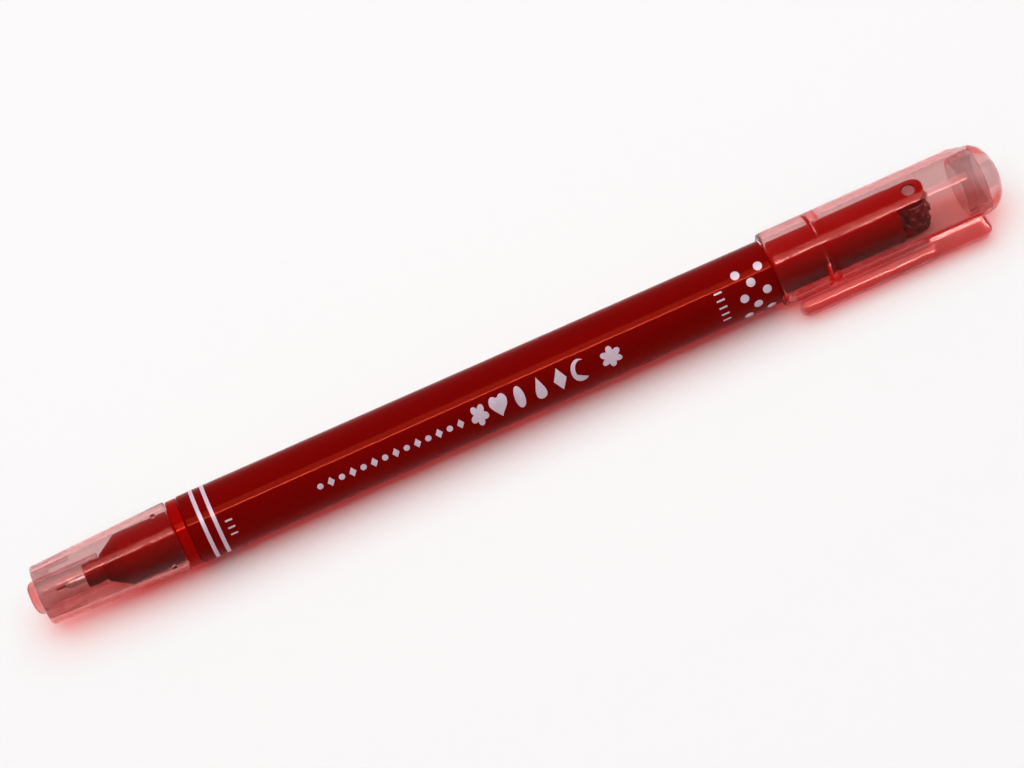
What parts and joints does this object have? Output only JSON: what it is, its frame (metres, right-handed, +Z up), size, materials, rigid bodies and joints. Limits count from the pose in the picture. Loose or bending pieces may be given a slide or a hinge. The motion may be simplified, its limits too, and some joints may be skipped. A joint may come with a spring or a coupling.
{
  "type": "two-ended roller stamp marker",
  "caption": "Two-ended marker: a fine fibre pen tip under a small vented cap, and an inked roller stamp in a fork under a large clip cap with an end plug.",
  "frame": {"origin": "centre of the overall box at its underside, on the surface that the large cap and the clip's edge lie on", "axes": "+X along the pen from the small cap to the large cap's plug, +Z up, the clip towards -Y and leaning down"},
  "size_m": [0.1504, 0.0134, 0.0113],
  "materials": {
    "red_plastic": "deep red translucent plastic, polished",
    "clear_pink": "pale pink translucent plastic, polished",
    "strong_pink": "stronger pink translucent plastic, polished",
    "pale_plastic": "pale pinkish plastic, satin",
    "white_plastic": "white plastic",
    "steel": "drawn stainless steel sleeve",
    "fibre": "bonded fibre, soaked with red ink",
    "felt_pad": "dense felt, soaked with red ink",
    "stamp_rubber": "soft stamp rubber"
  },
  "bodies": {
    "barrel_body": {"barrel": "red_plastic", "nib_section": "red_plastic", "nib_sleeve": "steel", "nib": "fibre", "pen_reservoir": "fibre", "pen_reservoir_film": "white_plastic", "barrel_divider": "white_plastic", "stamp_reservoir": "fibre", "stamp_reservoir_film": "white_plastic", "stamp_wick": "fibre", "ink_felt": "felt_pad", "stamp_holder": "red_plastic", "axle_pin": "pale_plastic"},
    "pen_cap": {"pen_cap_shell": "clear_pink", "pen_cap_inner": "clear_pink"},
    "stamp_cap": {"stamp_cap_tube": "clear_pink", "stamp_cap_plug": "strong_pink"},
    "clip": {"clip_arm": "clear_pink"},
    "roller": {"roller_hub": "white_plastic", "roller_rubber": "stamp_rubber"}
  },
  "joints": [
    {"name": "pen_cap_slide", "type": "slide", "parent": "barrel_body", "child": "pen_cap", "axis": [-1, 0, 0], "range_m": [0, 0.026]},
    {"name": "stamp_cap_slide", "type": "slide", "parent": "barrel_body", "child": "stamp_cap", "axis": [1, 0, 0], "range_m": [0, 0.032]},
    {"name": "roller_spin", "type": "hinge", "parent": "barrel_body", "child": "roller", "pos_m": [0.06178, 0.00103, 0.00565], "axis": [0, 0, 1], "continuous": true},
    {"name": "clip_flex", "type": "hinge", "parent": "stamp_cap", "child": "clip", "pos_m": [0.06163, -0.005, 0.00191], "axis": [0, -0.5269, 0.8499], "range_deg": [0, 4], "stiffness_Nm_per_rad": 1}
  ]
}
